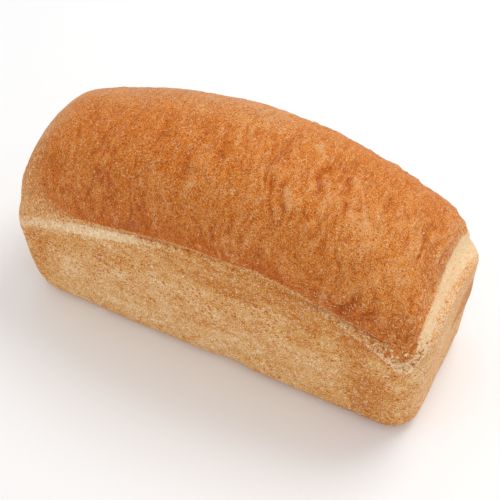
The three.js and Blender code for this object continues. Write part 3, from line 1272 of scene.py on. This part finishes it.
chipLook = {
    "spots": (0.7, 2, 0.6),
    "spotShare": 0.8,
    "edge": 0.12,                      # how sharply pale and dark chips part
    "distance": 0.2,
    "strength": 0.5,
    "roughness": 0.8,
    "specular": 0.1,
}
chipShades = {
    # each kind's material, pale and dark shade, and how many of its chips are dark
    "tornFlakes": ("tornCrust", colour(242, 204, 156), colour(208, 112, 40), 0.5),
    "paleCrumbs": ("paleCrumb", colour(252, 226, 186), colour(212, 136, 70), 0.15),
    "skinSlivers": ("paleSkin", colour(236, 184, 126), colour(200, 112, 44), 0.45),
}
crumpleSize = 1.6      # of the noise that shifts specks and lines about, in millimetres


def mottled(n, level, *layers):
    # each layer is a noise and how much it may raise or lower the level
    for layer, share in layers:
        level = n.timesPlus(n.math("SUBTRACT", layer, noiseMiddle), share, level)
    return level


def curls(n, place, size):
    lines = n.noise(n.scaled(place, shift=curlLook["shift"]), size, *curlLook["lines"])
    groups = n.noise(place, size * curlLook["groupSize"], *curlLook["groups"])
    here = n.ramp(groups, *curlLook["groupLevel"])
    return n.times(n.line(lines, noiseMiddle, curlLook["reach"]), here)


def crumpled(n, place, amount):
    # the place, shifted about so that specks and lines come out uneven
    made = n.add("ShaderNodeTexNoise")
    n.plug(place, made.inputs["Vector"])
    made.inputs["Scale"].default_value = 1 / (crumpleSize * mm)
    shift = n.add("ShaderNodeVectorMath", operation="MULTIPLY_ADD")
    n.plug(made.outputs["Color"], shift.inputs[0])
    shift.inputs[1].default_value = (amount * mm,) * 3
    n.plug(place, shift.inputs[2])
    return shift.outputs[0]


def wrinkleLines(n, place):
    lines = n.noise(n.scaled(place, wrinkleLook["stretch"]), *wrinkleLook["lines"])
    groups = n.ramp(n.noise(place, *wrinkleLook["groups"]), *wrinkleLook["groupLevel"])
    return n.times(n.line(lines, noiseMiddle, wrinkleLook["reach"]), groups)


def crustColour(n, place, lines):
    broad, fine, grains = (n.noise(place, *crust[name]) for name in ("broad", "fine", "grains"))
    middle = n.noise(n.scaled(place, crust["middleStretch"]), *crust["middle"])
    folds = n.attribute("foldTone")
    level = n.timesPlus(folds, crust["foldShare"], crust["middleLevel"])
    level = n.timesPlus(n.attribute("browningAndPaintedLight"), -crust["browningAndPaintedLightShare"], level)
    fineShare = n.between(n.attribute("atEnd"), *crust["fineShare"])
    level = mottled(n, level, (broad, crust["broadShare"]), (middle, crust["middleShare"]),
                    (fine, fineShare), (grains, crust["grainShare"]))
    base = n.shades(level, crust["shades"])

    def broken(mask, layers, name):
        uneven = mottled(n, mask, *zip(layers, crust[name + "Breaks"]))
        return n.ramp(uneven, *crust[name + "Level"])

    # the tops of the wrinkles stay paler, in broken patches, and their valleys and thin lines darken:
    # partly the crust's own tone, partly a painted highlight on the tops and painted shade in the valleys
    patch = broken(folds, (middle, fine, grains), "patch")
    valley = broken(folds, (fine, grains), "valley")
    paintedSheen = broken(n.attribute("paintedSheen"), (middle, grains), "paintedSheen")
    base = n.lay(base, crust["patch"], patch, crust["patchStrength"])
    base = n.lay(base, crust["valley"], valley, crust["valleyStrength"])
    base = n.lay(base, crust["valley"], lines, crust["lineStrength"])
    # painted sheen on the far side of the crown and on the left-hand end
    base = n.lay(base, crust["paintedSheen"], paintedSheen, crust["paintedSheenStrength"])
    uneven = crumpled(n, place, crust["crumple"])
    branShare = n.between(n.attribute("leftHalf"), *crust["branShare"])
    bran = n.dots(uneven, *crust["branSpecks"], branShare)
    base = n.lay(base, crust["bran"], bran, crust["branStrength"])
    for stretch, shift in crust["fleckPlaces"]:
        flecks = n.dots(n.scaled(uneven, stretch, shift), *crust["flecks"])
        base = n.lay(base, crust["fleck"], flecks, crust["fleckStrength"])
    return n.lay(base, crust["fleck"], curls(n, place, crust["curlSize"]), crust["curlStrength"])


def fadedColour(n, place):
    fine, grains = n.noise(place, *faded["fine"]), n.noise(place, *faded["grains"])
    base = n.shades(mottled(n, fine, (grains, faded["grainShare"])), faded["shades"])
    specks = n.dots(crumpled(n, place, faded["crumple"]), *faded["specks"])
    return n.lay(base, crust["bran"], specks, faded["speckStrength"])


def wallColour(n, place):
    along = n.scaled(place, wall["stretch"])
    broad = n.noise(n.scaled(place, wall["broadStretch"]), *wall["broad"])
    middle, fine = n.noise(along, *wall["middle"]), n.noise(along, *wall["fine"])
    grains = n.noise(place, *wall["grains"])
    atEnd = n.attribute("atEnd")
    level = n.timesPlus(n.attribute("toastAndPaintedLight"), -wall["toastAndPaintedLightShare"], wall["middleLevel"])
    level = mottled(n, level, (broad, wall["broadShare"]), (middle, wall["middleShare"]),
                    (fine, wall["fineShare"]), (grains, n.between(atEnd, *wall["grainShare"])))
    base = n.shades(level, wall["shades"])
    base = n.lay(base, wall["endTan"], atEnd, wall["endTanStrength"])
    uneven = crumpled(n, along, wall["crumple"])
    specks = n.dots(uneven, *wall["specks"])
    base = n.lay(base, wall["bran"], specks, n.between(atEnd, *wall["speckStrength"]))
    freckles = n.dots(n.scaled(uneven, shift=wall["freckleShift"]), *wall["freckles"])
    base = n.lay(base, wall["bran"], freckles, n.between(atEnd, *wall["freckleStrength"]))
    spots = n.dots(n.scaled(uneven, shift=wall["lipSpotShift"]), *wall["lipSpots"])
    spots = n.times(spots, n.attribute("lipSpots"))
    base = n.lay(base, crust["bran"], spots, wall["lipSpotStrength"])
    return n.lay(base, wall["fleck"], curls(n, along, wall["curlSize"]), wall["curlStrength"])


def shredColour(n, place):
    atEnd = n.attribute("atEnd")
    cream = n.blend(atEnd, shred["cream"], shred["endCream"])
    soft = n.ramp(n.noise(place, *shred["soft"]), *shred["softLevel"])
    base = n.blend(soft, shred["shade"], cream)
    grains = n.ramp(n.noise(place, *shred["grains"]), *shred["grainLevel"])
    base = n.lay(base, shred["shade"], grains, shred["grainStrength"])
    specks = n.dots(crumpled(n, place, shred["crumple"]), *shred["specks"])
    return n.lay(base, shred["bran"], specks, n.between(atEnd, *shred["speckStrength"]))


def foldColours(n, place, base, soft):
    # painted shade along the fold, in the bran colour, and at the tear a painted highlight along the edge
    # above it, in the fleck colour
    fold = n.timesPlus(soft, foldLook["wander"], n.attribute("creaseSide"))
    breaks = n.noise(place, *foldLook["breaks"])
    broken = n.ramp(breaks, *foldLook["breakLevel"], foldLook["leastShare"], 1.0)
    dark = n.times(n.line(fold, 0, foldLook["reach"]), n.attribute("crease"))
    base = n.lay(base, crust["bran"], n.times(dark, broken), foldLook["strength"])
    broken = n.ramp(n.noise(place, *foldLook["edgeBreaks"]), *foldLook["edgeLevel"])
    pale = n.times(n.line(fold, foldLook["edgeAbove"], foldLook["edgeReach"]), n.attribute("tear"))
    return n.lay(base, crust["fleck"], n.times(pale, broken), foldLook["edgeStrength"])


def breadMaterial():
    material = bpy.data.materials.new("bakedCrust")
    n = Nodes(material)
    place = n.add("ShaderNodeTexCoord").outputs["Object"]
    side, fade = n.attribute("crustSide"), n.attribute("crustFade")

    # the crust's edge is ragged, more so where it fades slowly
    fine = n.math("SUBTRACT", n.noise(place, *crustEdge["fine"]), noiseMiddle)
    soft = n.math("SUBTRACT", n.noise(place, *crustEdge["soft"]), noiseMiddle)
    fineShift = n.timesPlus(fade, crustEdge["fineShiftByFade"], crustEdge["fineShift"])
    edge = n.timesPlus(fine, fineShift, n.timesPlus(soft, crustEdge["softShift"], side))
    onCrust = n.ramp(n.math("DIVIDE", edge, fade), *crustEdge["level"])
    onFaded = n.ramp(edge, *crustEdge["fadedLevel"])
    layers = ((n.noise(place, *bandEdge[name]), bandEdge[name + "Share"]) for name in ("fine", "soft"))
    onBand = n.ramp(mottled(n, n.attribute("paleBand"), *layers), *bandEdge["level"])

    lines = wrinkleLines(n, place)
    base = n.blend(onBand, wallColour(n, place), shredColour(n, place))
    base = n.blend(onFaded, base, fadedColour(n, place))
    base = n.blend(onCrust, base, crustColour(n, place, lines))
    base = foldColours(n, place, base, soft)

    grain = n.timesPlus(n.times(lines, onCrust), skinBump["lines"], n.noise(place, *skinBump["grain"]))
    n.finish({
        "Base Color": base,
        "Roughness": n.between(onCrust, wall["roughness"], crust["roughness"]),
        "Specular IOR Level": skinBump["specular"],
        "Normal": n.bump(grain, skinBump["distance"], n.between(onCrust, *skinBump["strength"])),
    })
    return material


def chipMaterial(name, pale, dark, share):
    material = bpy.data.materials.new(name)
    n = Nodes(material)
    place = n.add("ShaderNodeTexCoord").outputs["Object"]
    spots = n.noise(place, *chipLook["spots"])
    tone = mottled(n, n.attribute("chipTone"), (spots, chipLook["spotShare"]))
    isDark = n.ramp(tone, share + chipLook["edge"], share - chipLook["edge"])
    n.finish({
        "Base Color": n.blend(isDark, pale, dark),
        "Roughness": chipLook["roughness"],
        "Specular IOR Level": chipLook["specular"],
        "Normal": n.bump(spots, chipLook["distance"], chipLook["strength"]),
    })
    return material


# studio

studio = {
    "floorSize": 6.0,
    "floorDrop": 0.1,      # millimetres below the loaf, so that the two don't touch
    "floorColour": (0.93, 0.93, 0.93, 1),
    "floorRoughness": 0.8,
    "worldStrength": 0.78,
    "lamps": {
        # where from, how wide and how strong
        "keyLight": ((0.3, 0.5, 1.1), 0.6, 5.6),
        "fillLight": ((-0.5, -1.1, 0.8), 1.2, 1.0),
        "sideLight": ((1.2, -0.3, 0.5), 1.0, 0.5),
    },
}
view = {
    "turn": 27.4,         # degrees round from straight in front, towards the right-hand end
    "tilt": 47.3,         # degrees above the floor
    "distance": 0.6876,
    "lookAt": (0.0025, 0.0009, 0.055),
    "lens": 79.1,
}


def makeFloor():
    size = studio["floorSize"] / 2
    mesh = bpy.data.meshes.new("studioFloor")
    down = -studio["floorDrop"] * mm
    corners = [(-size, -size, down), (size, -size, down), (size, size, down), (-size, size, down)]
    mesh.from_pydata(corners, [], [(0, 1, 2, 3)])
    floor = bpy.data.objects.new("studioFloor", mesh)
    material = bpy.data.materials.new("paleFloor")
    Nodes(material).finish({"Base Color": studio["floorColour"], "Roughness": studio["floorRoughness"]})
    mesh.materials.append(material)
    bpy.context.scene.collection.objects.link(floor)


def areaLight(name, place, size, power):
    light = bpy.data.lights.new(name, "AREA")
    light.shape = "DISK"
    light.size = size
    light.energy = power
    lamp = bpy.data.objects.new(name, light)
    lamp.location = place
    aim = Vector(view["lookAt"]) - lamp.location
    lamp.rotation_euler = aim.to_track_quat("-Z", "Y").to_euler()
    bpy.context.scene.collection.objects.link(lamp)


def makeLights():
    world = bpy.data.worlds.new("softRoom")
    world.use_nodes = True
    background = world.node_tree.nodes["Background"]
    background.inputs["Color"].default_value = (1, 1, 1, 1)
    background.inputs["Strength"].default_value = studio["worldStrength"]
    bpy.context.scene.world = world
    for name, (place, size, power) in studio["lamps"].items():
        areaLight(name, place, size, power)


def makeCamera():
    turn, tilt = math.radians(view["turn"]), math.radians(view["tilt"])
    back = Vector((math.sin(turn) * math.cos(tilt), -math.cos(turn) * math.cos(tilt), math.sin(tilt)))
    camera = bpy.data.objects.new("camera", bpy.data.cameras.new("camera"))
    camera.location = Vector(view["lookAt"]) + back * view["distance"]
    camera.rotation_euler = (-back).to_track_quat("-Z", "Y").to_euler()
    camera.data.lens = view["lens"]
    bpy.context.scene.collection.objects.link(camera)
    bpy.context.scene.camera = camera


print("shaping the loaf")
loaf, surface, fromFoot = makeLoaf()
loaf.data.materials.append(breadMaterial())
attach(loaf, "root")
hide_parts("loaf")
print("loaf has", len(loaf.data.vertices), "points and", len(loaf.data.polygons), "faces")

print("scattering flakes, crumbs and curls of skin")
for piece in makeChips(loaf.data, surface, fromFoot):
    piece.data.materials.append(chipMaterial(*chipShades[piece.name]))
    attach(piece, "root")
    print(piece.name, "has", len(piece.data.polygons), "faces")

print("setting up the studio")
makeFloor()
makeLights()
makeCamera()
bpy.context.scene.view_settings.view_transform = "Standard"
